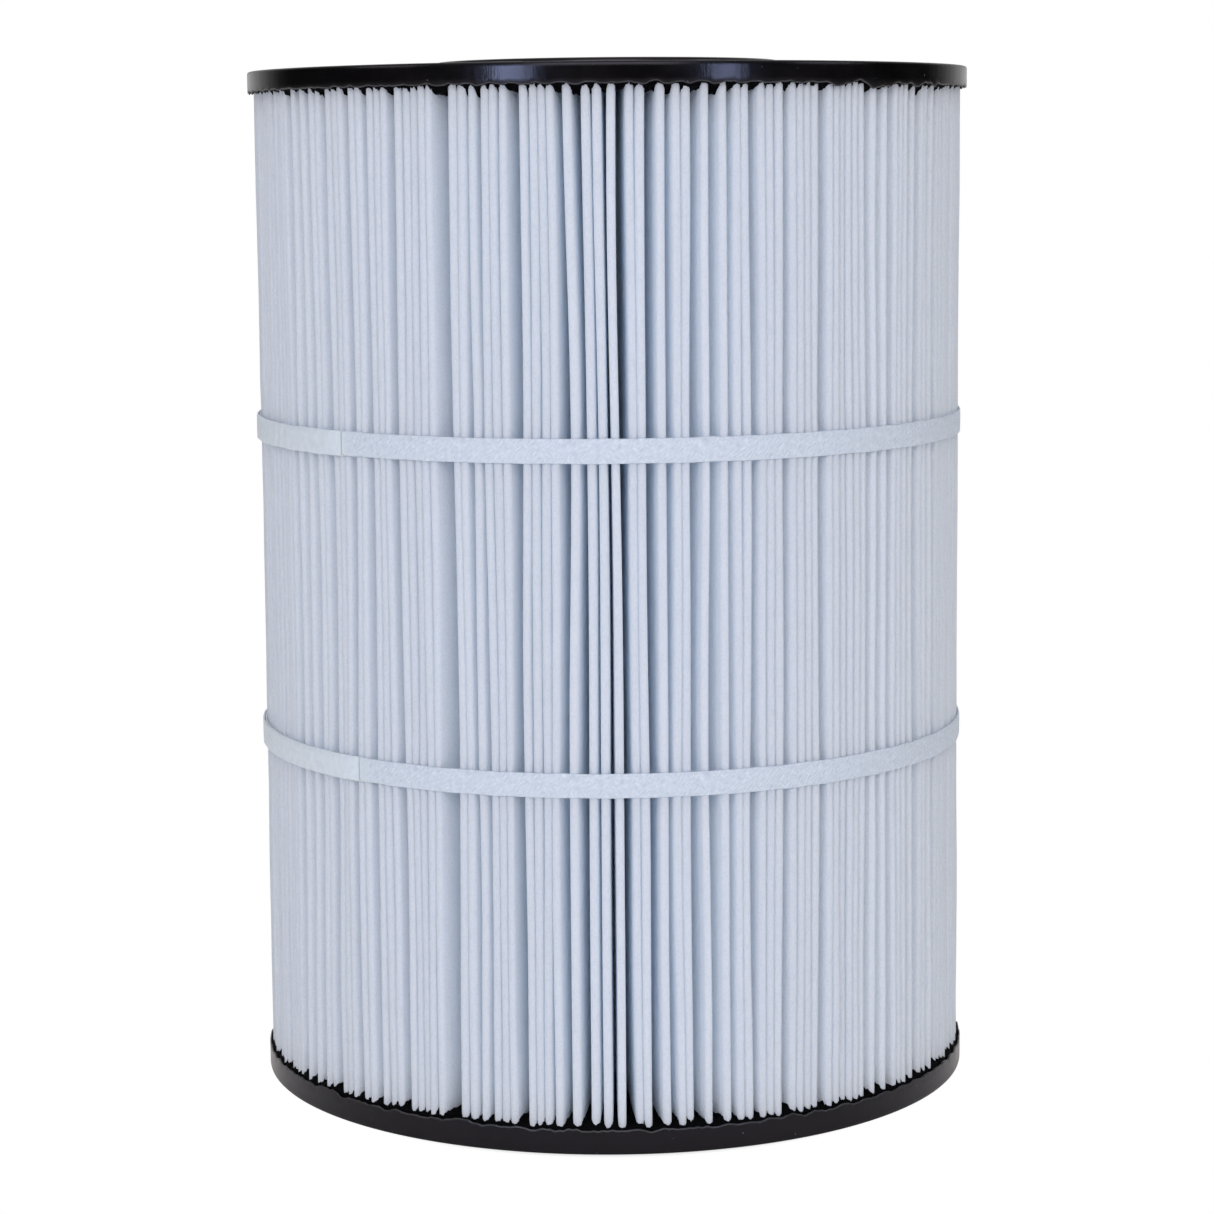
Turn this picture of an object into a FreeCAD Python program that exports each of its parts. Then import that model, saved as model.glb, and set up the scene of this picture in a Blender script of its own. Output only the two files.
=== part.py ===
"""Pleated filter cartridge with two moulded end caps.

The cartridge stands upright on +Z. The origin is on the axis, on the plane of the lower
collar's face. A folded sheet of filter media surrounds a windowed core, both caps are cast
round the ends of the sheet and the core, and two straps hold the folds together.
"""
import FreeCAD, Part
import math
import os

# Driving dimensions, in millimetres and degrees.
cap_radius = 127.8
rim_to_rim = 360.0
cap_thickness = 7.6
cap_edge_radius = 0.8
embed_depth = 5.6

opening_radius = 38.1
collar_radius = 61.0
collar_height = 3.0
collar_edge_radius = 1.0

pleat_count = 190
pleat_tip_radius = 125.4
pleat_root_radius = 52.0
media_thickness = 0.45
outer_fold_radius = 1.5
inner_fold_radius = 0.7

seam_pleat = 45
seam_bead_start = 96.0
seam_bead_end = 104.0

core_outer_radius = 50.5
core_wall = 3.5
core_section_count = 3
spigot_length = 6.0
spigot_clearance = 0.05
window_columns = 16
window_rows = 5
window_width = 14.0
window_corner_radius = 2.5
hoop_height = 5.0

strap_width = 8.0
strap_thickness = 0.6
strap_clearance = 0.05
strap_spacing = 110.6
lap_glue_thickness = 0.3
lap_ramp_angle = 3.0
lap_start_angle = 175.0
upper_lap_angle = 51.0
lower_lap_angle = 52.5
lap_glue_margin = 0.8

# Heights and radii that follow from the driving dimensions.
overall_height = rim_to_rim + 2 * collar_height
mid_height = overall_height / 2
media_bottom = collar_height + cap_thickness - embed_depth
media_height = overall_height - 2 * media_bottom
pleat_angle = 2 * math.pi / pleat_count
tip_centre_radius = pleat_tip_radius - outer_fold_radius
root_centre_radius = pleat_root_radius + inner_fold_radius
core_inner_radius = core_outer_radius - core_wall
core_section_height = media_height / core_section_count
spigot_radius = core_outer_radius - core_wall / 2
strap_radius = pleat_tip_radius + strap_clearance
lap_radius = strap_radius + strap_thickness + lap_glue_thickness

AXIS = FreeCAD.Vector(0, 0, 1)
CENTRE = FreeCAD.Vector(0, 0, 0)


def at_height(z):
    """Return the point on the cartridge's axis at height z."""
    return FreeCAD.Vector(0, 0, z)


def polar(radius, angle):
    """Return the point at a radius and an angle in radians, on the plane z = 0."""
    return FreeCAD.Vector(radius * math.cos(angle), radius * math.sin(angle), 0)


def tube(outer_radius, inner_radius, bottom, height):
    """Return a round tube on the cartridge's axis."""
    outside = Part.makeCylinder(outer_radius, height, at_height(bottom))
    inside = Part.makeCylinder(inner_radius, height, at_height(bottom))
    return outside.cut(inside)


def mirrored(point, angle):
    """Return a point mirrored in the vertical plane that stands at an angle."""
    bearing = math.atan2(point.y, point.x)
    radius = math.hypot(point.x, point.y)
    return polar(radius, 2 * angle - bearing)


def leg_points(tip_radius, root_radius):
    """Return both ends of one pleat's straight leg, tangent to its outer and inner fold."""
    tip_centre = polar(tip_centre_radius, 0)
    root_centre = polar(root_centre_radius, pleat_angle / 2)
    inward = root_centre - tip_centre
    span = inward.Length
    inward.normalize()
    sideways = FreeCAD.Vector(inward.y, -inward.x, 0)
    cosine = (tip_radius + root_radius) / span
    normal = inward * cosine + sideways * math.sqrt(1 - cosine ** 2)
    return tip_centre + normal * tip_radius, root_centre - normal * root_radius


def turned(point, angle):
    """Return a point turned about the cartridge's axis by an angle in radians."""
    return polar(math.hypot(point.x, point.y), math.atan2(point.y, point.x) + angle)


def pleat_outline(tip_radius, root_radius):
    """Return the closed line of one side of the media, with round folds and straight legs."""
    leg_tip, leg_root = leg_points(tip_radius, root_radius)
    tip_apex = polar(tip_centre_radius + tip_radius, 0)
    root_apex = polar(root_centre_radius - root_radius, pleat_angle / 2)
    edges = []
    for index in range(pleat_count):
        angle = index * pleat_angle
        tip_end = turned(leg_tip, angle)
        root_start = turned(leg_root, angle)
        root_end = turned(mirrored(leg_root, pleat_angle / 2), angle)
        next_tip = turned(mirrored(leg_tip, 0), angle + pleat_angle)
        tip_start = turned(mirrored(leg_tip, 0), angle)
        edges.append(Part.Arc(tip_start, turned(tip_apex, angle), tip_end).toShape())
        edges.append(Part.LineSegment(tip_end, root_start).toShape())
        edges.append(Part.Arc(root_start, turned(root_apex, angle), root_end).toShape())
        edges.append(Part.LineSegment(root_end, next_tip).toShape())
    return Part.Wire(edges)


def pleated_media():
    """Return the folded sheet of filter media, one closed ring of pleats."""
    outside = pleat_outline(outer_fold_radius, inner_fold_radius - media_thickness)
    inside = pleat_outline(outer_fold_radius - media_thickness, inner_fold_radius)
    inside.reverse()
    section = Part.Face([outside, inside])
    section.translate(at_height(media_bottom))
    return section.extrude(AXIS * media_height)


def media_seam_bead():
    """Return the glue bead that joins the sheet's two ends, inside one pleat."""
    leg_tip, leg_root = leg_points(outer_fold_radius - media_thickness, inner_fold_radius)
    slope = (leg_tip.y - leg_root.y) / (leg_tip.x - leg_root.x)
    start_width = leg_root.y + slope * (seam_bead_start - leg_root.x)
    end_width = leg_root.y + slope * (seam_bead_end - leg_root.x)
    corners = [
        FreeCAD.Vector(seam_bead_start, -start_width, 0),
        FreeCAD.Vector(seam_bead_end, -end_width, 0),
        FreeCAD.Vector(seam_bead_end, end_width, 0),
        FreeCAD.Vector(seam_bead_start, start_width, 0),
    ]
    section = Part.Face(Part.makePolygon(corners + corners[:1]))
    section.rotate(CENTRE, AXIS, math.degrees(seam_pleat * pleat_angle))
    section.translate(at_height(collar_height + cap_thickness))
    return section.extrude(AXIS * (rim_to_rim - 2 * cap_thickness))


def core_windows(bottom):
    """Return the round-cornered cutters for one core section's windows."""
    usable = core_section_height - 2 * spigot_length
    row_pitch = usable / window_rows
    window_height = row_pitch - hoop_height
    depth = 2 * core_wall
    corner = FreeCAD.Vector(core_inner_radius - core_wall / 2, -window_width / 2, 0)
    block = Part.makeBox(depth, window_width, window_height, corner)
    radial_edges = [edge for edge in block.Edges if edge.BoundBox.XLength > depth / 2]
    cutter = block.makeFillet(window_corner_radius, radial_edges)
    cutters = []
    for row in range(window_rows):
        for column in range(window_columns):
            window = cutter.copy()
            window.rotate(CENTRE, AXIS, 360.0 * column / window_columns)
            rise = bottom + spigot_length + hoop_height / 2 + row * row_pitch
            window.translate(at_height(rise))
            cutters.append(window)
    return cutters


def core_section(index):
    """Return one moulded length of the core, with a spigot above and a socket below."""
    bottom = media_bottom + index * core_section_height
    top = bottom + core_section_height
    body = tube(core_outer_radius, core_inner_radius, bottom, core_section_height)
    if index > 0:
        socket_radius = spigot_radius + spigot_clearance
        socket = Part.makeCylinder(socket_radius, spigot_length, at_height(bottom))
        body = body.cut(socket)
    if index < core_section_count - 1:
        spigot = tube(spigot_radius, core_inner_radius, top, spigot_length - spigot_clearance)
        body = body.fuse(spigot).removeSplitter()
    return body.cut(core_windows(bottom))


def end_cap(outer_face, inward, buried):
    """Return one cast cap: plate, raised collar and opening, cast round the buried parts."""
    inner_face = outer_face + inward * cap_thickness
    collar_face = outer_face - inward * collar_height
    plate = Part.makeCylinder(cap_radius, cap_thickness, at_height(min(outer_face, inner_face)))
    plate = plate.makeFillet(cap_edge_radius, circles_at(plate, cap_radius, outer_face))
    collar = Part.makeCylinder(collar_radius, collar_height, at_height(min(outer_face, collar_face)))
    collar = collar.makeFillet(collar_edge_radius, circles_at(collar, collar_radius, collar_face))
    opening_bottom = min(inner_face, collar_face)
    opening = Part.makeCylinder(opening_radius, cap_thickness + collar_height, at_height(opening_bottom))
    return plate.fuse(collar).cut(opening).cut(buried)


def circles_at(solid, radius, height):
    """Return a solid's round edges of one radius on one height."""
    return [
        edge for edge in solid.Edges
        if isinstance(edge.Curve, Part.Circle)
        and math.isclose(edge.Curve.Radius, radius)
        and math.isclose(edge.Curve.Center.z, height, abs_tol=1e-6)
    ]


def arc_about_axis(radius, start, end):
    """Return an arc about the cartridge's axis between two angles in degrees."""
    angles = [math.radians(angle) for angle in (start, (start + end) / 2, end)]
    return Part.Arc(*[polar(radius, angle) for angle in angles]).toShape()


def strap(height, lap_angle):
    """Return a flat strap that goes once round the pleats and laps over its own start."""
    ramp_start = lap_start_angle + 360 - lap_ramp_angle
    lap_start = lap_start_angle + 360
    lap_end = lap_start + lap_angle
    inner_edges = [
        arc_about_axis(strap_radius, lap_start_angle, ramp_start),
        arc_about_axis(lap_radius, lap_start, lap_end),
    ]
    outer_edges = [
        arc_about_axis(strap_radius + strap_thickness, lap_start_angle, ramp_start),
        arc_about_axis(lap_radius + strap_thickness, lap_start, lap_end),
    ]
    joints = [
        Part.LineSegment(edges[0].Vertexes[-1].Point, edges[1].Vertexes[0].Point).toShape()
        for edges in (inner_edges, outer_edges)
    ]
    ends = [
        Part.LineSegment(inner_edges[0].Vertexes[0].Point, outer_edges[0].Vertexes[0].Point).toShape(),
        Part.LineSegment(inner_edges[1].Vertexes[-1].Point, outer_edges[1].Vertexes[-1].Point).toShape(),
    ]
    outline = Part.Wire(Part.__sortEdges__(inner_edges + outer_edges + joints + ends))
    section = Part.Face(outline)
    section.translate(at_height(height - strap_width / 2))
    return section.extrude(AXIS * strap_width)


def lap_glue(height, lap_angle):
    """Return the thin layer of glue between a strap's two lapped ends."""
    inner_radius = strap_radius + strap_thickness
    start = lap_start_angle + 360
    end = start + lap_angle
    inner_arc = arc_about_axis(inner_radius, start, end)
    outer_arc = arc_about_axis(lap_radius, start, end)
    sides = [
        Part.LineSegment(inner_arc.Vertexes[place].Point, outer_arc.Vertexes[place].Point).toShape()
        for place in (0, -1)
    ]
    section = Part.Face(Part.Wire(Part.__sortEdges__([inner_arc, outer_arc] + sides)))
    glue_height = strap_width - 2 * lap_glue_margin
    section.translate(at_height(height - glue_height / 2))
    return section.extrude(AXIS * glue_height)


def build():
    """Return every piece of the cartridge by its name."""
    media = pleated_media()
    core = [core_section(index) for index in range(core_section_count)]
    core_space = tube(core_outer_radius, core_inner_radius, media_bottom, media_height)
    buried = [media, core_space]
    upper_height = mid_height + strap_spacing / 2
    lower_height = mid_height - strap_spacing / 2
    return {
        "bottom_end_cap": end_cap(collar_height, 1, buried),
        "top_end_cap": end_cap(overall_height - collar_height, -1, buried),
        "pleated_media": media,
        "media_seam_bead": media_seam_bead(),
        "core_lower_section": core[0],
        "core_middle_section": core[1],
        "core_upper_section": core[2],
        "upper_strap": strap(upper_height, upper_lap_angle),
        "lower_strap": strap(lower_height, lower_lap_angle),
        "upper_strap_glue": lap_glue(upper_height, upper_lap_angle),
        "lower_strap_glue": lap_glue(lower_height, lower_lap_angle),
    }


pieces = build()
os.makedirs("parts", exist_ok=True)
for name, shape in pieces.items():
    shape.exportStep(f"parts/{name}.step")
    box = shape.BoundBox
    print(f"{name}: {len(shape.Solids)} solid, {len(shape.Faces)} faces, valid {shape.isValid()}, "
          f"{shape.Volume / 1000:.1f} cm3, z {box.ZMin:.2f} to {box.ZMax:.2f}")

strip_length = pieces["pleated_media"].Volume / (media_thickness * media_height)
print(f"media strip: {strip_length:.0f} mm long, {media_height:.1f} mm wide, "
      f"{strip_length * media_height / 1e6:.2f} m2")
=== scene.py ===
"""Looks of a pleated filter cartridge: folded media, cast caps, straps, glue and core.

Lengths are in metres. Angles round the cartridge are in radians, and zero faces the camera.
"""
import math

import bpy
import numpy as np
from mathutils import Matrix, Vector


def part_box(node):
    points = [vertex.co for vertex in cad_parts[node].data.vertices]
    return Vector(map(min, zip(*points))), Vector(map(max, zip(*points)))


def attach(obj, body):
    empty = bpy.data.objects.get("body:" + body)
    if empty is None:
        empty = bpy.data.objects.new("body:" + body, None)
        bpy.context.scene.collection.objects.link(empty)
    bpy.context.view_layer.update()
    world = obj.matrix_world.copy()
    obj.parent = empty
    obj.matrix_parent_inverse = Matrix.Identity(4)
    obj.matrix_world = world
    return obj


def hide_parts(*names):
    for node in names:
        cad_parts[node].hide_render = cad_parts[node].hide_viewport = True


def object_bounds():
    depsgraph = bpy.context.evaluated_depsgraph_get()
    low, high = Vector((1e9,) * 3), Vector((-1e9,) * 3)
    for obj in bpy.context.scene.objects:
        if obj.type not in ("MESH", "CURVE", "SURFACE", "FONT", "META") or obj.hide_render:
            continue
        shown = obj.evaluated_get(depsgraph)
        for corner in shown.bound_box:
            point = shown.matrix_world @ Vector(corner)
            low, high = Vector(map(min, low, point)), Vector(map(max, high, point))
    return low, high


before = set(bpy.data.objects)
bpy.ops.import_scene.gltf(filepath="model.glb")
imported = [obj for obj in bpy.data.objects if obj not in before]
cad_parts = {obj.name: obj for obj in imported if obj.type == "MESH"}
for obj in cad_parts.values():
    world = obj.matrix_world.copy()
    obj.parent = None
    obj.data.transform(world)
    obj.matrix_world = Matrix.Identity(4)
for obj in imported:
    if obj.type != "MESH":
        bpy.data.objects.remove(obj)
cad_low, cad_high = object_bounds()

MM = 0.001

def middle_height(node):
    """Return the middle height of a CAD node."""
    low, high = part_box(node)
    return (low[2] + high[2]) / 2


# Places and sizes that come from the CAD nodes.
media_low, media_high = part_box("pleated_media")
CAP_RADIUS = round(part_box("top_end_cap")[1][1], 4)
CAP_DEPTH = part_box("bottom_end_cap")[1][2]
OVERALL_HEIGHT = cad_high[2]
MEDIA_BOTTOM = media_low[2]
MEDIA_TOP = media_high[2]
TIP_RADIUS = media_high[1]

# Sizes of the castings, as in the CAD source.
COLLAR_HEIGHT = 3 * MM
COLLAR_RADIUS = 61 * MM
OPENING_RADIUS = 38.1 * MM
PLATE = CAP_DEPTH - COLLAR_HEIGHT

# Detail of the castings: columns round a cap for each pleat, and how many rows of the cap's edge
# have the lip's material.
COLUMNS_PER_PLEAT = 8
LIP_ROWS = 4
# Single waves of the two lips: place and half width in degrees, and height in millimetres.
TOP_FLASH = (
    (36.6, 1.6, 1.2), (39.9, 1.2, -1.0), (43.2, 1.5, 1.6), (46.4, 1.8, 1.2), (54.1, 1.5, 0.9),
    (58.6, 0.8, -0.5), (60.3, 0.7, 1.0),
)
BOTTOM_FLASH = ((-24.1, 2, 1.2), (-17, 0.9, 0.5), (-52, 1.6, 1.0), (26, 1.2, 0.8))

# The media: even folds at the core, bunched folds at the outside.
PLEATS = 190
ROOT_RADIUS = 52.2 * MM
FOLD_RADIUS = 1.48 * MM
# Spacing of the tips: within a bunch, and the least that two folds may have after they wander.
TOUCHING = 3.0 * MM
LEAST_SPACING = 2.62 * MM
FRONT_START = math.radians(-45.1)
# Bunches across the front, from left to right: pleats that lean together, and the valley after
# them in millimetres.
FRONT_BUNCHES = (
    (1, 5.5), (2, 5.5), (3, 6), (5, 9), (2, 4.2), (1, 4.2), (3, 6.5), (4, 6.1), (1, 6), (1, 4),
    (1, 4.5), (1, 5.8), (2, 6.4), (1, 5), (2, 6.3), (1, 6.5), (1, 5), (2, 5.5), (3, 5.4), (4, 5.9),
    (6, 5.5),
)
# Bunches everywhere else: sizes to draw from, and the range of their valleys in millimetres.
OTHER_BUNCHES = (1, 1, 1, 1, 2, 2, 2, 3, 3, 4)
OTHER_VALLEYS = (3.6, 6.6)
# How far the tips stand out from the CAD's, which is more towards the bottom, and at most.
SPREAD_AT_TOP = 0.5 * MM
SPREAD_BELOW = 1.5 * MM
SPREAD_POWER = 3.3
SPREAD_LIMIT = 1.45 * MM
# The straps pull the tips in to this far inside them, over this distance above and below.
TIPS_UNDER_STRAP = 0.15 * MM
STRAP_REACH = 6 * MM
# How far the roots follow the leaning tips, as a share.
ROOT_LEAN = 0.6
# Columns along a pleat's leg: the share of the way from root to tip, and how far the leg bulges
# there towards the middle of the valley beside it. The pleats that face the camera are nearly
# straight.
LEG_BULGES = ((0.45, 0.78), (0.74, 0.8), (0.92, 0.4))
BULGE_RANGE = (0.75, 1.2)
STRAIGHT_MIDDLE = math.radians(1)
STRAIGHT_HALF_WIDTH = math.radians(8)
STRAIGHTENED = 0.7
# Directions round a fold, from one leg to the other.
FOLD_BENDS = np.radians([-90, -62, -32, 0, 32, 62, 90])
# The seam's glue bead, as shares of the way between the leg's first two columns.
SEAM_BEAD = (0.55, 0.93)

# Straps. Each has its middle height, its inner radius and the angle that its lap ends at.
STRAP_WIDTH = 8.2 * MM
STRAP_THICKNESS = 0.6 * MM
UPPER_STRAP = (middle_height("upper_strap"), TIP_RADIUS + 0.3 * MM, math.radians(-45.3))
LOWER_STRAP = (
    middle_height("lower_strap") + 0.35 * MM, TIP_RADIUS + 0.65 * MM, math.radians(-42.5),
)
LAP_START = math.radians(-95)
# The lap lies this far above the layer under it, and its thinned end is pressed back by this much.
LAP_CLEARANCE = 0.24 * MM
LAP_END_PRESSED = 0.16 * MM

# The camera, as fitted to the photograph: places in cap radii and angles in degrees.
CAMERA_DISTANCE = 8.996
CAMERA_HEIGHT = 2.592
CAMERA_ASIDE = -0.0124
CAMERA_DOWN = 8.16
CAMERA_ROLL = -0.49
CAMERA_LENS = 94.15

# Colours of the lights.
DAYLIGHT = (0.57, 0.68, 1.0)
SOFT = (0.965, 0.94, 1.0)


def smooth_step(share):
    """Return the share, held from 0 to 1 and eased at both ends."""
    share = np.clip(share, 0, 1)
    return share * share * (3 - 2 * share)


def point_at(radius, angle, height):
    """Return x, y and z arrays for cylindrical coordinates whose zero angle faces the camera."""
    return radius * np.sin(angle), -radius * np.cos(angle), height + 0 * radius * angle


def placed(name, mesh, node):
    """Return an object for a mesh that rides on the root body and stands for a CAD node."""
    piece = bpy.data.objects.new(name, mesh)
    bpy.context.scene.collection.objects.link(piece)
    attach(piece, "root")
    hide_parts(node)
    return piece


def new_piece(name, points, faces, node):
    """Return a piece with smooth faces that all have the same number of corners."""
    mesh = bpy.data.meshes.new(name)
    mesh.vertices.add(len(points))
    mesh.vertices.foreach_set("co", np.asarray(points, dtype=np.float32).ravel())
    faces = np.asarray(faces, dtype=np.int32)
    starts = np.arange(0, faces.size, faces.shape[1], dtype=np.int32)
    mesh.loops.add(faces.size)
    mesh.loops.foreach_set("vertex_index", faces.ravel())
    mesh.polygons.add(len(faces))
    mesh.polygons.foreach_set("loop_start", starts)
    mesh.polygons.foreach_set("use_smooth", np.ones(len(faces), dtype=bool))
    mesh.update(calc_edges=True)
    mesh.validate()
    return placed(name, mesh, node)


def grid_faces(rows, columns, wrap_rows=False, wrap_columns=False):
    """Return the quads of a grid of points, stored row by row, closed along either way."""
    row = np.arange(rows if wrap_rows else rows - 1)
    column = np.arange(columns if wrap_columns else columns - 1)
    row, column = np.meshgrid(row, column, indexing="ij")
    next_row = (row + 1) % rows
    next_column = (column + 1) % columns
    corners = (
        row * columns + column,
        row * columns + next_column,
        next_row * columns + next_column,
        next_row * columns + column,
    )
    return np.stack([corner.ravel() for corner in corners], axis=1)


def stacked(x, y, z):
    """Return three equal arrays as one list of points."""
    return np.stack([x.ravel(), y.ravel(), z.ravel()], axis=1)


# ---------------------------------------------------------------- the media's folds


def bunch_spacings(rng, wanted):
    """Return spacings for a number of pleats, in random bunches with valleys between them."""
    spacings = []
    while len(spacings) < wanted:
        size = int(rng.choice(OTHER_BUNCHES))
        spacings += [TOUCHING] * (size - 1)
        spacings.append(rng.uniform(*OTHER_VALLEYS) * MM)
    return np.array(spacings[:wanted])


def tip_angles(rng):
    """Return every pleat's tip angle, the front ones as listed and the others at random."""
    front = []
    for size, valley in FRONT_BUNCHES:
        front += [TOUCHING] * (size - 1) + [valley * MM]
    front = np.array(front)
    rest = bunch_spacings(rng, PLEATS - len(front))
    valleys = rest > TOUCHING * 1.01
    room = 2 * math.pi * TIP_RADIUS - front.sum() - rest[~valleys].sum()
    rest[valleys] *= room / rest[valleys].sum()
    spacings = np.concatenate([front, rest])
    return FRONT_START + np.concatenate([[0], np.cumsum(spacings)[:-1]]) / TIP_RADIUS


def run_along(rng, heights, size, shortest, longest, terms=3):
    """Return a smooth random run along the heights for each pleat, of about the given size."""
    total = np.zeros((PLEATS, len(heights)))
    for _ in range(terms):
        length = rng.uniform(shortest, longest, (PLEATS, 1))
        phase = rng.uniform(0, 2 * math.pi, (PLEATS, 1))
        total += np.cos(2 * math.pi * heights[None, :] / length + phase)
    return size * total / math.sqrt(terms / 2)


def shared_with_neighbours(runs, reach):
    """Return the runs averaged over neighbouring pleats, at their old strength."""
    weights = np.hanning(2 * reach + 3)[1:-1]
    total = sum(w * np.roll(runs, i - reach, axis=0) for i, w in enumerate(weights))
    return total / math.sqrt((weights ** 2).sum())


def row_heights(strap_heights):
    """Return the heights of the media's rows, closer together at the caps and the straps."""
    from_ends = np.array([0, 4.4, 8, 14, 24]) * MM
    from_strap = np.array([-14, -7, -3.5, 0, 3.5, 7, 14]) * MM
    rows = [MEDIA_BOTTOM + from_ends, MEDIA_TOP - from_ends[::-1]]
    rows += [height + from_strap for height in strap_heights]
    rows = np.sort(np.concatenate(rows))
    longest_step = 18 * MM
    filled = [rows[0]]
    for row in rows[1:]:
        steps = max(1, math.ceil((row - filled[-1]) / longest_step))
        filled += list(np.linspace(filled[-1], row, steps + 1)[1:])
    return np.array(filled)


class Folds:
    """Where every fold of the media lies, at every height."""

    def __init__(self, strap_radii, seed=11):
        """strap_radii gives each strap's inner radius by its height."""
        rng = np.random.default_rng(seed)
        self.heights = row_heights(strap_radii)
        even = np.arange(PLEATS) * 2 * math.pi / PLEATS
        tips = tip_angles(rng)
        lean = tips - even
        lean -= lean.mean()
        self.even = even + (tips - even).mean()
        slow = run_along(rng, self.heights, 0.35 * MM, shortest=0.25, longest=0.6)
        slow = shared_with_neighbours(slow, reach=3)
        own = run_along(rng, self.heights, 0.16 * MM, shortest=0.14, longest=0.4)
        sideways = (slow + own) / TIP_RADIUS
        self.tip_angle = tips[:, None] + sideways
        self.keep_apart()
        sunk = np.abs(rng.normal(0, 0.35 * MM, (PLEATS, 1)))
        wander = run_along(rng, self.heights, 0.1 * MM, shortest=0.05, longest=0.25)
        sunk = sunk + wander + 0.2 * MM
        down = 1 - self.heights / OVERALL_HEIGHT
        spread = np.minimum(SPREAD_AT_TOP + SPREAD_BELOW * down ** SPREAD_POWER, SPREAD_LIMIT)
        self.tip_radius = TIP_RADIUS + spread - np.clip(sunk, 0, None)
        for strap_height, strap_radius in strap_radii.items():
            near = np.exp(-((self.heights - strap_height) / STRAP_REACH) ** 2)
            self.tip_radius += (strap_radius - TIPS_UNDER_STRAP - self.tip_radius) * near
        thin = run_along(rng, self.heights, 0.03 * MM, shortest=0.1, longest=0.3)
        fold = FOLD_RADIUS + rng.normal(0, 0.06 * MM, (PLEATS, 1)) + thin
        self.fold_radius = np.minimum(fold, self.half_room())
        smooth_lean = shared_with_neighbours(lean[:, None], reach=4)[:, 0]
        smooth_lean *= lean.std() / smooth_lean.std() * ROOT_LEAN
        self.root_angle = self.even + math.pi / PLEATS + smooth_lean
        straight = np.exp(-((tips - STRAIGHT_MIDDLE) / STRAIGHT_HALF_WIDTH) ** 2)
        self.bulge_after = rng.uniform(*BULGE_RANGE, PLEATS) * (1 - STRAIGHTENED * straight)

    def keep_apart(self):
        """Push tips apart where they come closer than two touching folds."""
        least = LEAST_SPACING / TIP_RADIUS
        for _ in range(60):
            after = np.roll(self.tip_angle, -1, axis=0)
            after[-1] += 2 * math.pi
            short = np.clip(least - (after - self.tip_angle), 0, None) / 2
            self.tip_angle += np.roll(short, 1, axis=0) - short

    def half_room(self):
        """Return half of the way to each tip's nearer neighbour, at the folds' widest place."""
        after = np.roll(self.tip_angle, -1, axis=0)
        after[-1] += 2 * math.pi
        gap = after - self.tip_angle
        return 0.5 * (TIP_RADIUS - 2 * FOLD_RADIUS) * np.minimum(gap, np.roll(gap, 1, axis=0))


def pleat_columns(folds):
    """Return x, y and z of the whole sheet, with rows up the height and columns along the fold."""
    before = np.roll(folds.root_angle, 1)
    before[0] -= 2 * math.pi
    columns = []
    height = folds.heights[None, :]
    for_root = ROOT_RADIUS + 0 * height
    root_before = np.stack(point_at(for_root, before[:, None], height), axis=-1)
    root_after = np.stack(point_at(for_root, folds.root_angle[:, None], height), axis=-1)
    centre_radius = folds.tip_radius - folds.fold_radius
    centre = np.stack(point_at(centre_radius, folds.tip_angle, height), axis=-1)
    outward = centre - (root_before + root_after) / 2
    outward[..., 2] = 0
    outward /= np.linalg.norm(outward, axis=-1, keepdims=True)
    sideways = np.stack([-outward[..., 1], outward[..., 0], 0 * outward[..., 0]], axis=-1)
    radius = folds.fold_radius[..., None]
    arc = [
        centre + radius * (math.cos(bend) * outward + math.sin(bend) * sideways)
        for bend in FOLD_BENDS
    ]
    own_bulge = folds.bulge_after[:, None, None]
    to_middle_before = np.roll(own_bulge, 1, axis=0) * (np.roll(arc[-1], 1, axis=0) - arc[0]) / 2
    to_middle_after = own_bulge * (np.roll(arc[0], -1, axis=0) - arc[-1]) / 2
    columns.append(root_before)
    columns += [
        root_before + place * (arc[0] - root_before + bulge * to_middle_before)
        for place, bulge in LEG_BULGES
    ]
    columns += arc
    columns += [
        root_after + place * (arc[-1] - root_after + bulge * to_middle_after)
        for place, bulge in LEG_BULGES[::-1]
    ]
    sheet = np.stack(columns, axis=1)
    return sheet.transpose(2, 0, 1, 3).reshape(len(folds.heights), -1, 3)


def mirrored_triangles(rows, columns):
    """Return the folded sheet's triangles, split the same way on both walls of every valley.

    Neighbouring walls nearly touch, so walls that were split differently would cut each other."""
    a, b, c, d = grid_faces(rows, columns, wrap_columns=True).T
    per_pleat = columns // PLEATS
    before_tip = a % columns % per_pleat < per_pleat // 2
    first = np.where(before_tip, [a, b, c], [a, b, d])
    second = np.where(before_tip, [a, c, d], [b, c, d])
    return np.concatenate([first.T, second.T])


def pleated_media(folds, material):
    """Return the folded sheet, as one closed ring of pleats."""
    sheet = pleat_columns(folds)
    rows, columns = sheet.shape[:2]
    faces = mirrored_triangles(rows, columns)
    piece = new_piece("folded_media", sheet.reshape(-1, 3), faces, "pleated_media")
    piece.data.materials.append(material)
    return piece


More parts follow.
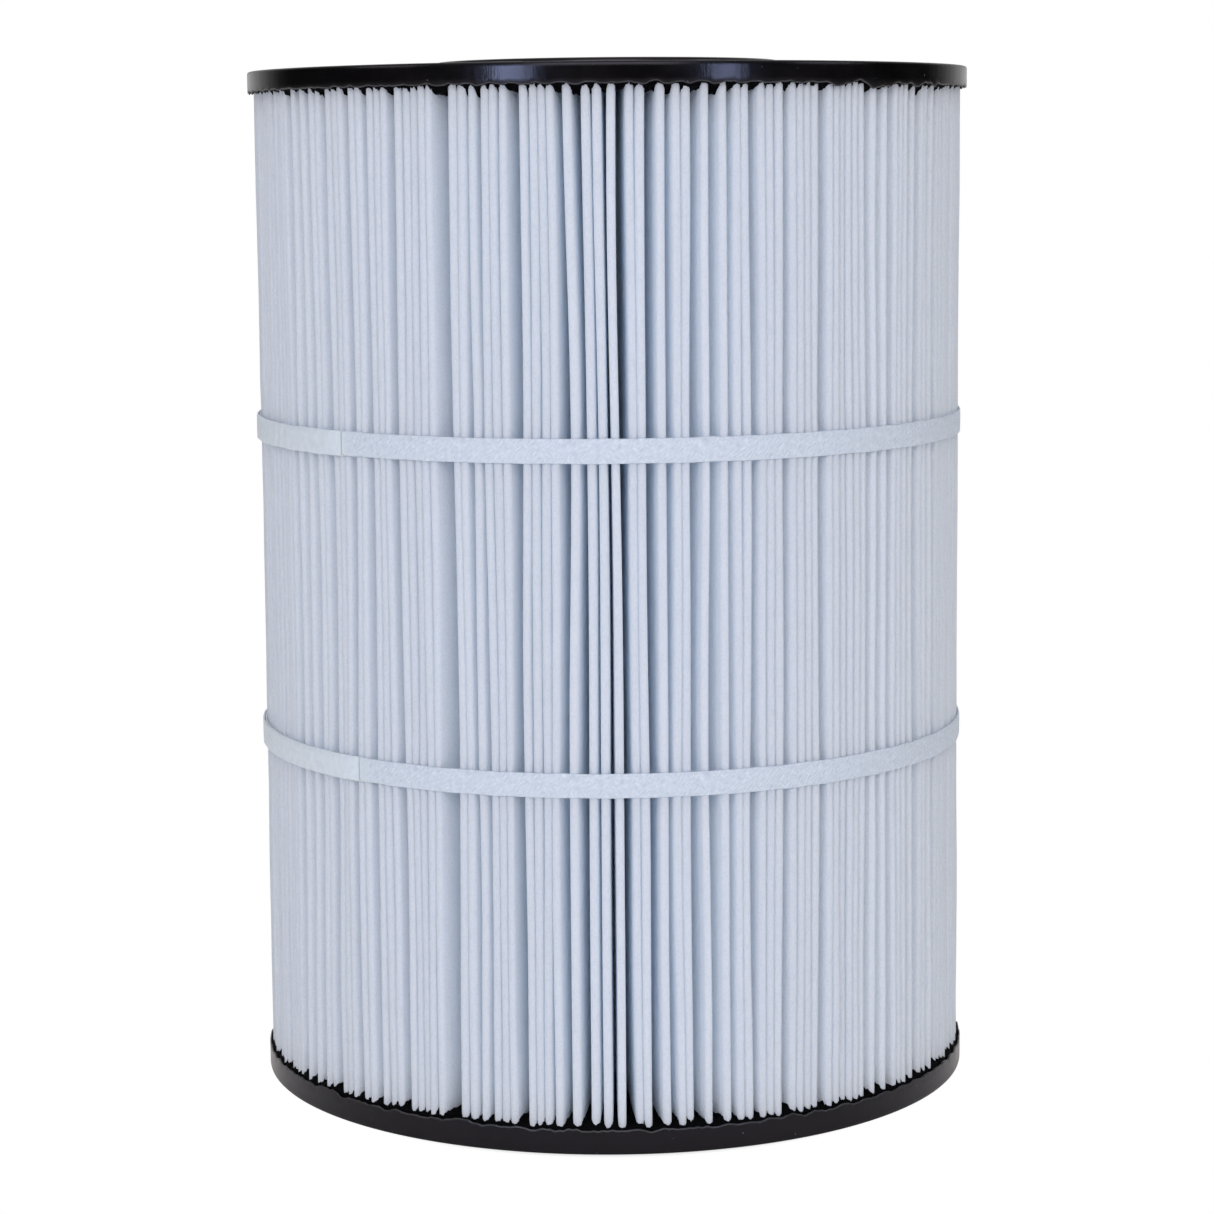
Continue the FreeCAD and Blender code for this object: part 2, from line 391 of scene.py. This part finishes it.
def seam_bead(folds, material):
    """Return the glue bead between the two plies of the seam pleat, at the back."""
    pleat = int(np.argmin(np.abs(np.sin((folds.even - math.pi) / 2))))
    sheet = pleat_columns(folds)
    per_pleat = sheet.shape[1] // PLEATS
    start = pleat * per_pleat
    left = sheet[2:-2, start:start + 4]
    right_root = sheet[2:-2, (start + per_pleat) % sheet.shape[1]]
    right = np.stack([right_root] + [sheet[2:-2, start + per_pleat - i] for i in (1, 2, 3)], axis=1)
    low, high = SEAM_BEAD
    corners = []
    for share, side in ((low, left), (high, left), (high, right), (low, right)):
        other = right if side is left else left
        here = side[:, 1] + (side[:, 2] - side[:, 1]) * share
        there = other[:, 1] + (other[:, 2] - other[:, 1]) * share
        corners.append(here * 0.92 + there * 0.08)
    ring = np.stack(corners, axis=1)
    faces = grid_faces(len(ring), 4, wrap_columns=True).tolist()
    last = 4 * (len(ring) - 1)
    faces += [[3, 2, 1, 0], [last, last + 1, last + 2, last + 3]]
    piece = new_piece("seam_glue", ring.reshape(-1, 3), faces, "media_seam_bead")
    piece.data.materials.append(material)
    return piece


# ---------------------------------------------------------------- the cast caps


def ripple_round(rng, angles, size, slowest, fastest, terms=14):
    """Return a smooth random ripple round the cartridge, of about the given size."""
    total = 0 * angles
    for _ in range(terms):
        waves = int(rng.integers(slowest, fastest))
        total = total + np.cos(waves * angles + rng.uniform(0, 2 * math.pi))
    return size * total / math.sqrt(terms / 2)


def columns_on_pleats(tips):
    """Return a cap's column angles, evenly spaced from each pleat's tip to the next.

    Return for each column also how far it is round the rim from the nearer tip, and how far a
    column in the middle of that valley would be.
    """
    step = np.append(tips[1:], tips[0] + 2 * math.pi) - tips
    share = np.arange(COLUMNS_PER_PLEAT) / COLUMNS_PER_PLEAT
    angles = tips[:, None] + step[:, None] * share
    aside = TIP_RADIUS * step[:, None] * np.minimum(share, 1 - share)
    halfway = TIP_RADIUS * step[:, None] / 2 + 0 * aside
    return angles.ravel(), aside.ravel(), halfway.ravel()


def moulded_profile():
    """Return radius and depth along a cap's moulded faces, from its opening to its outer edge."""
    collar_edge = 1 * MM
    rim_edge = 0.8 * MM
    profile = [
        (OPENING_RADIUS, PLATE - 0.5 * MM), (OPENING_RADIUS, 0.5 * PLATE), (OPENING_RADIUS, 0),
        (OPENING_RADIUS, 0.5 * MM - COLLAR_HEIGHT),
        (OPENING_RADIUS + 0.15 * MM, 0.15 * MM - COLLAR_HEIGHT),
        (OPENING_RADIUS + 0.5 * MM, -COLLAR_HEIGHT), (OPENING_RADIUS + 1.2 * MM, -COLLAR_HEIGHT),
        (50 * MM, -COLLAR_HEIGHT), (COLLAR_RADIUS - 2 * MM, -COLLAR_HEIGHT),
    ]
    turns = np.radians([90, 60, 30, 0])
    profile += [
        (
            COLLAR_RADIUS - collar_edge * (1 - math.cos(turn)),
            collar_edge * (1 - math.sin(turn)) - COLLAR_HEIGHT,
        )
        for turn in turns
    ]
    profile += [
        (COLLAR_RADIUS, -0.5 * MM), (COLLAR_RADIUS + 0.15 * MM, -0.15 * MM),
        (COLLAR_RADIUS + 0.5 * MM, 0), (COLLAR_RADIUS + 2 * MM, 0),
        (80 * MM, 0), (100 * MM, 0), (115 * MM, 0), (CAP_RADIUS - 2 * MM, 0),
    ]
    profile += [
        (CAP_RADIUS - rim_edge * (1 - math.cos(turn)), rim_edge * (1 - math.sin(turn)))
        for turn in turns
    ]
    return profile + [(CAP_RADIUS, 2 * MM), (CAP_RADIUS, 3.5 * MM), (CAP_RADIUS, 5 * MM)]


def cap_section(rng, tips, tip_radius, lip, flash, stands, climb, inner_rise):
    """Return a cap's column angles, its radii and depths row by row, and how many rows are moulded.

    lip is the depth the resin crept to along the mould's wall, and flash lists single waves of it:
    place, half width and height. The resin stands beyond the lip at the folds' tips by stands. It
    climbs the folds' flanks by climb, and further in by inner_rise more.
    """
    angles, aside, halfway = columns_on_pleats(tips)
    one = np.ones_like(angles)
    wave = ripple_round(rng, angles, 0.24 * MM, 40, 120)
    wave = wave + ripple_round(rng, angles, 0.07 * MM, 120, 300)
    for middle, half_width, rise in flash:
        from_middle = np.mod(angles - math.radians(middle) + math.pi, 2 * math.pi) - math.pi
        wave = wave + rise * MM * np.exp(-(from_middle / math.radians(half_width)) ** 2)
    moulded = moulded_profile()
    rows = [(radius * one, depth * one) for radius, depth in moulded]
    # The thin lip that crept up the mould's wall, as millimetres inward and below its crest, and
    # the trough behind it.
    for inward, below in ((0, 0.45), (0.05, 0.15), (0.2, 0), (0.42, 0), (0.6, 0.2), (0.75, 0.6)):
        rows.append(((CAP_RADIUS - inward * MM) * one, lip + wave - below * MM))
    trough = lip + 0.6 * wave - 0.7 * MM
    level = lip + 0.5 * wave + stands + ripple_round(rng, angles, 0.12 * MM, 40, 200)
    outermost = tip_radius + 0.3 * MM
    rows.append(((CAP_RADIUS - 0.75 * MM + outermost) / 2 * one, trough))
    rows.append((outermost * one, (2 * trough + level) / 3))
    # The free surface, from the tips inwards. It sags between folds that stand apart, and each
    # fold draws it up by its own amount.
    sag = np.clip(halfway / FOLD_RADIUS - 1.2, 0, 1) * (aside / halfway) ** 2
    wetted = rng.uniform(0.5, 1.6, PLEATS)
    share = np.tile(np.arange(COLUMNS_PER_PLEAT) / COLUMNS_PER_PLEAT, PLEATS)
    own_climb = climb * (
        np.repeat(wetted, COLUMNS_PER_PLEAT) * (1 - share)
        + np.repeat(np.roll(wetted, -1), COLUMNS_PER_PLEAT) * share
    )
    for inward in (0, 0.3, 0.65, 1.05, 1.5, 2.2, 3.2, 4.8, 7.5, 12, 19, 30, 45, 65):
        wet = min(inward * MM / FOLD_RADIUS, 1)
        rough = 0.3 * MM * min(1, 0.4 + inward) * rng.standard_normal(len(angles))
        further = inner_rise * own_climb / climb * min(max(inward - 0.3, 0) / 3, 1) ** 0.8
        height = level + own_climb * wet * (1 - 0.45 * sag) + further
        rows.append(((tip_radius - inward * MM) * one, height + rough * (inward < 12)))
    inside = ((51.2 * MM, PLATE + 1.2 * MM), (44 * MM, PLATE), (OPENING_RADIUS + 0.5 * MM, PLATE))
    rows += [(radius * one, depth * one) for radius, depth in inside]
    radii, depths = (np.stack([row[place] for row in rows]) for place in (0, 1))
    return angles, radii, depths, len(moulded)


def cast_cap(name, node, face_height, inward, seed, materials, **surface):
    """Return one cap. Its depth is measured inward from the outer face."""
    rng = np.random.default_rng(seed)
    angles, radii, depths, moulded = cap_section(rng, **surface)
    x, y, z = point_at(radii, angles[None, :], face_height + inward * depths)
    faces = grid_faces(*radii.shape, wrap_rows=True, wrap_columns=True)
    if inward > 0:
        faces = faces[:, ::-1]
    piece = new_piece(name, stacked(x, y, z), faces, node)
    for material in materials:
        piece.data.materials.append(material)
    # Material slots: the moulded faces, the lip, and the free surface.
    row = np.arange(len(radii))
    slots = (row >= moulded).astype(np.int32) + (row >= moulded + LIP_ROWS)
    slots = np.repeat(slots, len(angles)).astype(np.int32)
    piece.data.polygons.foreach_set("material_index", slots)
    return piece


# ---------------------------------------------------------------- straps and glue


def closed_run(name, rows, node, material):
    """Return a piece whose rows of points run side by side round a section, closed at both ends."""
    points = np.stack([np.stack(row, axis=-1) for row in rows])
    around, along = points.shape[:2]
    faces = grid_faces(around, along, wrap_rows=True)[:, ::-1].tolist()
    start = [row * along for row in range(around)]
    end = [row * along + along - 1 for row in reversed(range(around))]
    mesh = bpy.data.meshes.new(name)
    mesh.from_pydata(points.reshape(-1, 3).tolist(), [], faces + [start, end])
    mesh.polygons.foreach_set("use_smooth", np.arange(len(mesh.polygons)) < len(faces))
    mesh.materials.append(material)
    return placed(name, mesh, node)


def strap(name, node, height, inner_radius, lap_end, seed, material):
    """Return one strap: a ribbon that goes once round and laps over its own start."""
    rng = np.random.default_rng(seed)
    lap = lap_end - LAP_START
    full = 2 * math.pi
    end = full + lap
    angles = np.arange(0, end, math.radians(0.4))
    raised = smooth_step((angles - full + math.radians(3)) / math.radians(3))
    radius = inner_radius + (STRAP_THICKNESS + LAP_CLEARANCE) * raised
    at_end = smooth_step((angles - end + math.radians(2.5)) / math.radians(2.5))
    pressed = 1 - 0.96 * at_end
    radius = radius - LAP_END_PRESSED * at_end
    beyond = np.minimum(np.abs(angles - full - lap / 2), np.abs(angles - lap / 2)) - lap / 2
    soaked = 1 - smooth_step((beyond + math.radians(1)) / math.radians(4.5))
    half = STRAP_WIDTH / 2
    thickness = STRAP_THICKNESS
    top_wave, low_wave = (
        ripple_round(rng, angles, 0.05 * MM, 12, 70) + ripple_round(rng, angles, 0.02 * MM, 70, 300)
        for _ in range(2)
    )
    bulge = ripple_round(rng, angles, 0.05 * MM, 30, 160)
    round_off = 0.18 * MM
    section = [
        (0, -half + round_off), (0, 0), (0, half - round_off), (0.3 * thickness, half),
        (0.75 * thickness, half - 0.3 * round_off), (thickness, half - 1.6 * round_off),
        (thickness + 0.03 * MM, 0.5 * half), (thickness + 0.04 * MM, 0),
        (thickness + 0.03 * MM, -0.5 * half), (thickness, -half + 1.6 * round_off),
        (0.75 * thickness, -half + 0.3 * round_off), (0.3 * thickness, -half),
    ]
    wider = 1 + 0.04 * raised
    rows = []
    for out, up in section:
        wave = top_wave if up > 0.1 * half else low_wave if up < -0.1 * half else 0 * angles
        outward = out * pressed + (bulge if out > 0.9 * thickness else 0)
        rows.append(point_at(radius + outward, LAP_START + angles, height + up * wider + wave))
    piece = closed_run(name, rows, node, material)
    mesh = piece.data
    along = np.tile(angles * TIP_RADIUS, len(section))
    up = np.repeat([place[1] for place in section], len(angles))
    index = np.zeros(len(mesh.loops), dtype=np.int32)
    mesh.loops.foreach_get("vertex_index", index)
    places = np.stack([along[index], up[index]], axis=1).astype(np.float32)
    layer = mesh.uv_layers.new(name="metres")
    layer.data.foreach_set("uv", places.ravel())
    glued = mesh.attributes.new("soaked", "FLOAT", "POINT")
    glued.data.foreach_set("value", np.tile(soaked, len(section)).astype(np.float32))
    return piece


def squeezed_glue(name, node, height, inner_radius, lap_end, seed, material):
    """Return the glue line that shows along the lap's lower edge and at its end."""
    rng = np.random.default_rng(seed)
    angles = np.linspace(LAP_START, lap_end + math.radians(0.4), 160)
    bead = 0.16 * MM + np.abs(ripple_round(rng, angles, 0.09 * MM, 30, 260))
    taper = np.clip((angles - angles[0]) / math.radians(2), 0, 1)
    taper = taper * np.clip((angles[-1] - angles) / math.radians(1), 0, 1)
    bead = bead * np.sqrt(taper) + 0.02 * MM
    middle = inner_radius + STRAP_THICKNESS + 0.05 * MM
    low = height - STRAP_WIDTH / 2
    turns = np.linspace(0, 2 * math.pi, 9)[:-1]
    rows = [
        point_at(middle + bead * math.cos(turn), angles, low + bead * math.sin(turn))
        for turn in turns
    ]
    return closed_run(name, rows, node, material)


# ---------------------------------------------------------------- materials


class Material:
    """A material with one Principled shader, and short calls for its nodes."""

    def __init__(self, name):
        self.made = bpy.data.materials.new(name)
        self.made.use_nodes = True
        self.tree = self.made.node_tree
        self.shader = self.tree.nodes["Principled BSDF"]

    def node(self, kind, **values):
        node = self.tree.nodes.new(kind)
        for key, value in values.items():
            if key in node.inputs:
                node.inputs[key].default_value = value
            else:
                setattr(node, key, value)
        return node

    def link(self, output, target):
        self.tree.links.new(output, target)

    def noise(self, coordinates, scale, detail=3.0, roughness=0.5):
        node = self.node("ShaderNodeTexNoise", Scale=scale, Detail=detail, Roughness=roughness)
        self.link(coordinates, node.inputs["Vector"])
        return node.outputs["Fac"]

    def stretched(self, coordinates, size, turn=(0, 0, 0)):
        """Turn the coordinates and divide them by the size a pattern's grain has on each axis."""
        node = self.node("ShaderNodeMapping", vector_type="TEXTURE", Scale=size, Rotation=turn)
        self.link(coordinates, node.inputs["Vector"])
        return node.outputs["Vector"]

    def ramp(self, value, stops):
        node = self.node("ShaderNodeValToRGB")
        elements = node.color_ramp.elements
        while len(elements) < len(stops):
            elements.new(0.5)
        for element, (place, colour) in zip(elements, stops):
            element.position = place
            element.color = (*colour, 1)
        self.link(value, node.inputs["Fac"])
        return node.outputs["Color"]

    def spread(self, value, low, high):
        node = self.node("ShaderNodeMapRange")
        node.inputs["To Min"].default_value = low
        node.inputs["To Max"].default_value = high
        self.link(value, node.inputs["Value"])
        return node.outputs["Result"]

    def maths(self, operation, first, second):
        node = self.node("ShaderNodeMath", operation=operation)
        for place, value in enumerate((first, second)):
            if isinstance(value, (int, float)):
                node.inputs[place].default_value = value
            else:
                self.link(value, node.inputs[place])
        return node.outputs[0]

    def bump(self, height, strength, distance, below=None):
        node = self.node("ShaderNodeBump", Strength=strength, Distance=distance)
        self.link(height, node.inputs["Height"])
        if below is not None:
            self.link(below, node.inputs["Normal"])
        return node.outputs["Normal"]

    def coordinates(self, which="Object"):
        return self.node("ShaderNodeTexCoord").outputs[which]


def media_material():
    """Spunbonded polyester: bluish white, matte, with a fine random fibre grain."""
    m = Material("spunbond_media")
    place = m.coordinates()
    fibres = m.noise(place, 2400, 4, 0.65)
    specks = m.noise(place, 1100, 3, 0.6)
    clumps = m.noise(place, 260, 3)
    grain = m.maths("ADD", m.maths("MULTIPLY", fibres, 0.25), m.maths("MULTIPLY", specks, 0.75))
    tint = m.maths("ADD", m.maths("MULTIPLY", grain, 0.85), m.maths("MULTIPLY", clumps, 0.15))
    shades = (
        (0.4, (0.872, 0.911, 0.947)), (0.5, (0.943, 0.97, 0.991)), (0.58, (0.98, 0.993, 0.999)),
    )
    m.link(m.ramp(tint, shades), m.shader.inputs["Base Color"])
    m.link(m.spread(fibres, 0.78, 0.95), m.shader.inputs["Roughness"])
    m.shader.inputs["Specular IOR Level"].default_value = 0.25
    m.shader.inputs["Sheen Weight"].default_value = 0.12
    m.shader.inputs["Sheen Roughness"].default_value = 0.5
    m.link(m.bump(grain, 0.8, 0.4 * MM), m.shader.inputs["Normal"])
    through = m.node("ShaderNodeBsdfTranslucent", Color=(0.935, 0.963, 0.989, 1))
    mixed = m.node("ShaderNodeMixShader")
    mixed.inputs[0].default_value = 0.4
    m.link(m.shader.outputs[0], mixed.inputs[1])
    m.link(through.outputs[0], mixed.inputs[2])
    m.link(mixed.outputs[0], m.tree.nodes["Material Output"].inputs["Surface"])
    return m.made


def cast_material():
    """Moulded face of black polyurethane: satin, bluish in its shine, with faint upright marks."""
    m = Material("cast_black")
    place = m.coordinates()
    mottle = m.noise(place, 90, 4)
    grain = m.noise(place, 1500, 2)
    specks = m.noise(place, 700, 1)
    dust = m.maths("GREATER_THAN", specks, 0.79)
    base = m.ramp(mottle, ((0.3, (0.002, 0.0017, 0.0018)), (0.7, (0.0042, 0.0036, 0.0038))))
    mixed = m.node("ShaderNodeMix", data_type="RGBA")
    m.link(dust, mixed.inputs["Factor"])
    m.link(base, mixed.inputs["A"])
    mixed.inputs["B"].default_value = (0.09, 0.09, 0.1, 1)
    m.link(mixed.outputs["Result"], m.shader.inputs["Base Color"])
    # The mould's flat faces leave a duller skin than its turned wall.
    split = m.node("ShaderNodeSeparateXYZ")
    m.link(m.node("ShaderNodeNewGeometry").outputs["Normal"], split.inputs[0])
    duller = m.maths("MULTIPLY", m.maths("ABSOLUTE", split.outputs["Z"], 0.0), 0.22)
    m.link(m.maths("ADD", m.spread(mottle, 0.1, 0.24), duller), m.shader.inputs["Roughness"])
    m.shader.inputs["Specular IOR Level"].default_value = 0.33
    m.shader.inputs["Specular Tint"].default_value = (0.88, 0.85, 0.96, 1)
    marks = m.noise(m.stretched(place, (2.4 * MM, 2.4 * MM, 16 * MM)), 1, 3)
    scratches = m.noise(m.stretched(place, (0.5 * MM, 0.5 * MM, 9 * MM)), 1, 2)
    fine = m.bump(grain, 0.12, 0.1 * MM)
    upright = m.bump(scratches, 0.12, 0.1 * MM, fine)
    m.link(m.bump(marks, 0.18, 0.2 * MM, upright), m.shader.inputs["Normal"])
    return m.made


def lip_material():
    """Thin lip of the casting: a grey lighter than the cast black, as a painted highlight along its
    edge.
    """
    m = Material("lip_black")
    highlight_mottle = m.noise(m.coordinates(), 350, 3)
    # Painted highlight: a base colour much lighter than the cast black's, for the light the lip's
    # edge catches, mottled at random.
    base = m.ramp(highlight_mottle, ((0.3, (0.008, 0.008, 0.01)), (0.7, (0.03, 0.031, 0.036))))
    m.link(base, m.shader.inputs["Base Color"])
    m.link(m.spread(highlight_mottle, 0.25, 0.4), m.shader.inputs["Roughness"])
    m.shader.inputs["Specular IOR Level"].default_value = 0.6
    return m.made


def poured_material():
    """Free surface of the black polyurethane, with painted shade: darker than the cast black, for
    the shade between the folds.
    """
    m = Material("poured_black")
    lumps = m.noise(m.coordinates(), 420, 3)
    # Painted shade: a base colour darker than the cast black's, for the shade between the folds.
    base = m.ramp(lumps, ((0.3, (0.001, 0.001, 0.0012)), (0.7, (0.0025, 0.0025, 0.0028))))
    m.link(base, m.shader.inputs["Base Color"])
    m.link(m.spread(lumps, 0.5, 0.7), m.shader.inputs["Roughness"])
    m.shader.inputs["Specular IOR Level"].default_value = 0.03
    m.link(m.bump(lumps, 0.4, 0.4 * MM), m.shader.inputs["Normal"])
    return m.made


def strap_material():
    """Polyester strap: crossed fibres, with a smoother and greyer stretch soaked in glue."""
    m = Material("strap_fibres")
    along = m.coordinates("UV")
    rising, falling = (
        m.noise(m.stretched(along, (2.4 * MM, 0.32 * MM, 1), (0, 0, math.radians(turn))), 1, 3, 0.6)
        for turn in (44, -44)
    )
    which = m.noise(along, 420, 1)
    sharper = m.node("ShaderNodeMapRange")
    sharper.inputs["From Min"].default_value = 0.5
    sharper.inputs["From Max"].default_value = 0.6
    m.link(which, sharper.inputs["Value"])
    fibres = m.node("ShaderNodeMix", data_type="FLOAT")
    m.link(sharper.outputs["Result"], fibres.inputs["Factor"])
    m.link(rising, fibres.inputs["A"])
    m.link(falling, fibres.inputs["B"])
    fibre = fibres.outputs["Result"]
    shades = ((0.34, (0.5, 0.565, 0.62)), (0.5, (0.63, 0.695, 0.755)), (0.64, (0.77, 0.825, 0.875)))
    dry = m.ramp(fibre, shades)
    wet = m.ramp(m.noise(along, 400, 2), ((0.3, (0.645, 0.715, 0.75)), (0.7, (0.725, 0.785, 0.82))))
    soaked = m.node("ShaderNodeAttribute", attribute_name="soaked").outputs["Fac"]
    mixed = m.node("ShaderNodeMix", data_type="RGBA")
    m.link(soaked, mixed.inputs["Factor"])
    m.link(dry, mixed.inputs["A"])
    m.link(wet, mixed.inputs["B"])
    m.link(mixed.outputs["Result"], m.shader.inputs["Base Color"])
    m.link(m.spread(soaked, 0.62, 0.42), m.shader.inputs["Roughness"])
    relief = m.maths("MULTIPLY", fibre, m.maths("SUBTRACT", 1.0, m.maths("MULTIPLY", soaked, 0.8)))
    m.link(m.bump(relief, 0.7, 0.25 * MM), m.shader.inputs["Normal"])
    return m.made


def glue_material():
    """Hot-melt glue: milky, slightly yellow and shiny."""
    m = Material("hot_melt")
    lumps = m.noise(m.coordinates(), 500, 2)
    base = m.ramp(lumps, ((0.3, (0.62, 0.65, 0.63)), (0.7, (0.72, 0.74, 0.71))))
    m.link(base, m.shader.inputs["Base Color"])
    m.link(m.spread(lumps, 0.25, 0.4), m.shader.inputs["Roughness"])
    m.link(m.bump(lumps, 0.3, 0.3 * MM), m.shader.inputs["Normal"])
    return m.made


def core_material():
    """Moulded plastic of the core: off-white, with a fine spark-eroded grain."""
    m = Material("core_plastic")
    place = m.coordinates()
    grain = m.noise(place, 1800, 3)
    patches = m.noise(place, 60, 2)
    base = m.ramp(patches, ((0.3, (0.74, 0.74, 0.72)), (0.7, (0.8, 0.8, 0.78))))
    m.link(base, m.shader.inputs["Base Color"])
    m.link(m.spread(grain, 0.38, 0.55), m.shader.inputs["Roughness"])
    m.link(m.bump(grain, 0.2, 0.1 * MM), m.shader.inputs["Normal"])
    return m.made


def floor_material():
    """Plain pale floor that glows white away from the cartridge, as a light table does."""
    m = Material("pale_floor")
    m.shader.inputs["Base Color"].default_value = (0.95, 0.905, 0.87, 1)
    m.shader.inputs["Roughness"].default_value = 0.9
    m.shader.inputs["Specular IOR Level"].default_value = 0.1
    away = m.node("ShaderNodeVectorMath", operation="LENGTH")
    m.link(m.coordinates(), away.inputs[0])
    fade = m.node("ShaderNodeMapRange", interpolation_type="SMOOTHSTEP")
    fade.inputs["From Min"].default_value = 0.111
    fade.inputs["From Max"].default_value = 0.122
    m.link(away.outputs["Value"], fade.inputs["Value"])
    path = m.node("ShaderNodeLightPath")
    lifts = m.maths("MULTIPLY", path.outputs["Is Diffuse Ray"], 0.55)
    seen = m.maths("ADD", path.outputs["Is Camera Ray"], lifts)
    glow = m.node("ShaderNodeEmission", Strength=1.0)
    mixed = m.node("ShaderNodeMixShader")
    m.link(m.maths("MULTIPLY", fade.outputs["Result"], seen), mixed.inputs[0])
    m.link(m.shader.outputs[0], mixed.inputs[1])
    m.link(glow.outputs[0], mixed.inputs[2])
    m.link(mixed.outputs[0], m.tree.nodes["Material Output"].inputs["Surface"])
    return m.made


# ---------------------------------------------------------------- stage, lights and camera


def floor():
    """Lay a plain floor under the cartridge."""
    bpy.ops.mesh.primitive_plane_add(size=12, location=(0, 0, cad_low[2]))
    plane = bpy.context.object
    plane.name = "floor"
    plane.data.materials.append(floor_material())


def softbox(name, azimuth, elevation, distance, size, power, tint=(1, 1, 1)):
    """Add a soft area light that faces the cartridge. Azimuth zero is at the camera."""
    light = bpy.data.lights.new(name, "AREA")
    light.shape = "RECTANGLE"
    light.size, light.size_y = size
    light.energy = power
    light.color = tint
    lamp = bpy.data.objects.new(name, light)
    bpy.context.scene.collection.objects.link(lamp)
    a, e = math.radians(azimuth), math.radians(elevation)
    direction = Vector((math.sin(a) * math.cos(e), -math.cos(a) * math.cos(e), math.sin(e)))
    middle = Vector((0, 0, OVERALL_HEIGHT / 2))
    lamp.location = middle + direction * distance
    lamp.rotation_euler = (-direction).to_track_quat("-Z", "Y").to_euler()
    return lamp


def surroundings():
    """Give the room a dim front and a bright back, with white behind the cartridge."""
    world = bpy.data.worlds.new("studio")
    bpy.context.scene.world = world
    world.use_nodes = True
    tree = world.node_tree
    background = tree.nodes["Background"]
    where = tree.nodes.new("ShaderNodeTexCoord")
    split = tree.nodes.new("ShaderNodeSeparateXYZ")
    parts = []
    for axis, low, high, strength in (("Y", 0.5, 0.95, 0.7), ("Z", 0.2, 0.6, 0.4)):
        fade = tree.nodes.new("ShaderNodeMapRange")
        fade.interpolation_type = "SMOOTHSTEP"
        fade.inputs["From Min"].default_value = low
        fade.inputs["From Max"].default_value = high
        fade.inputs["To Min"].default_value = 0.01
        fade.inputs["To Max"].default_value = strength
        tree.links.new(split.outputs[axis], fade.inputs["Value"])
        parts.append(fade.outputs["Result"])
    both = tree.nodes.new("ShaderNodeMath")
    both.operation = "ADD"
    for place, part in enumerate(parts):
        tree.links.new(part, both.inputs[place])
    seen = tree.nodes.new("ShaderNodeLightPath")
    pick = tree.nodes.new("ShaderNodeMix")
    pick.inputs["B"].default_value = 1.0
    tree.links.new(where.outputs["Generated"], split.inputs[0])
    tree.links.new(seen.outputs["Is Camera Ray"], pick.inputs["Factor"])
    tree.links.new(both.outputs[0], pick.inputs["A"])
    tree.links.new(pick.outputs["Result"], background.inputs["Strength"])
    background.inputs["Color"].default_value = (1, 1, 1, 1)


def camera():
    """Set the camera a little above the cartridge's middle, looking slightly down."""
    distance = CAMERA_DISTANCE * CAP_RADIUS
    height = COLLAR_HEIGHT + CAMERA_HEIGHT * CAP_RADIUS
    aside = CAMERA_ASIDE * CAP_RADIUS
    pitch = math.radians(90 - CAMERA_DOWN)
    roll = math.radians(CAMERA_ROLL)
    data = bpy.data.cameras.new("camera")
    data.sensor_width = 36
    data.lens = CAMERA_LENS
    data.clip_start, data.clip_end = 0.05, 50
    seat = bpy.data.objects.new("camera", data)
    bpy.context.scene.collection.objects.link(seat)
    turn = Matrix.Rotation(pitch, 4, "X") @ Matrix.Rotation(roll, 4, "Z")
    seat.matrix_world = Matrix.Translation((aside, -distance, height)) @ turn
    bpy.context.scene.camera = seat


folds = Folds({height: radius for height, radius, _ in (LOWER_STRAP, UPPER_STRAP)})

glue = glue_material()
band = strap_material()
castings = (cast_material(), lip_material(), poured_material())

pleated_media(folds, media_material())
seam_bead(folds, glue)

cast_cap(
    "top_cap", "top_end_cap", OVERALL_HEIGHT - COLLAR_HEIGHT, -1, 5, castings,
    tips=folds.tip_angle[:, -2], tip_radius=folds.tip_radius[:, -2].mean() + 0.2 * MM,
    lip=PLATE - 0.5 * MM, flash=TOP_FLASH, stands=0.05 * MM, climb=0.5 * MM, inner_rise=2 * MM,
)
cast_cap(
    "bottom_cap", "bottom_end_cap", COLLAR_HEIGHT, 1, 6, castings,
    tips=folds.tip_angle[:, 1], tip_radius=folds.tip_radius[:, 1].mean() + 0.2 * MM,
    lip=PLATE + 0.9 * MM, flash=BOTTOM_FLASH, stands=0.6 * MM, climb=1.1 * MM, inner_rise=0.6 * MM,
)

strap("upper_band", "upper_strap", *UPPER_STRAP, 21, band)
strap("lower_band", "lower_strap", *LOWER_STRAP, 22, band)
squeezed_glue("upper_band_glue", "upper_strap_glue", *UPPER_STRAP, 31, glue)
squeezed_glue("lower_band_glue", "lower_strap_glue", *LOWER_STRAP, 32, glue)

core = core_material()
for node in ("core_lower_section", "core_middle_section", "core_upper_section"):
    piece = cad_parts[node]
    piece.data.materials.clear()
    piece.data.materials.append(core)

floor()
surroundings()
softbox("left_softbox", -29, 8, 2.2, (0.42, 0.5), 7.8, DAYLIGHT)
softbox("right_softbox", 35.5, 8, 2.2, (0.34, 0.5), 4.7, DAYLIGHT)
softbox("high_front_softbox", 0, 25, 3.6, (3, 1.5), 40, SOFT)
softbox("far_left_softbox", -72, 22, 2.4, (0.9, 0.5), 4, SOFT)
softbox("far_right_softbox", 72, 22, 2.4, (0.9, 0.5), 4, SOFT)
softbox("overhead_softbox", 0, 88, 2.0, (2.4, 2.4), 9.5, SOFT)
softbox("back_softbox", 180, 30, 2.4, (1.6, 1.6), 3.5, SOFT)
camera()
# Light reaches the bottom of the pleats' valleys only after many bounces.
bpy.context.scene.cycles.max_bounces = 32
bpy.context.scene.cycles.diffuse_bounces = 32
bpy.context.scene.cycles.transmission_bounces = 32
bpy.context.scene.view_settings.view_transform = "Standard"
